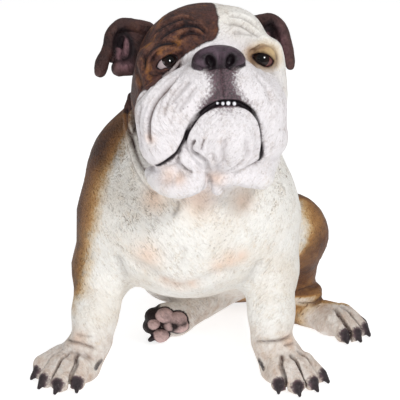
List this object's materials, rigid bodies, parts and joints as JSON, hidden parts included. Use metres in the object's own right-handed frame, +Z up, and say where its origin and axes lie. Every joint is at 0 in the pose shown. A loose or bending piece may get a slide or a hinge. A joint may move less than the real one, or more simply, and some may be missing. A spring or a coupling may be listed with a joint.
{
  "type": "bulldog garden statue",
  "caption": "Life-size bulldog statue that sits on its paws and rump with the head raised, for a lawn, a doorstep or a terrace.",
  "frame": {"origin": "middle of the outline seen from above, on the ground that the paws and rump stand on", "axes": "+Z up, the dog's chest faces -Y, +X is the dog's own left"},
  "size_m": [0.4966, 0.5778, 0.5317],
  "materials": {
    "cast_resin": "painted cast resin, satin, white with brown patches"
  },
  "bodies": {
    "root": {"bulldog": "cast_resin"}
  },
  "joints": []
}
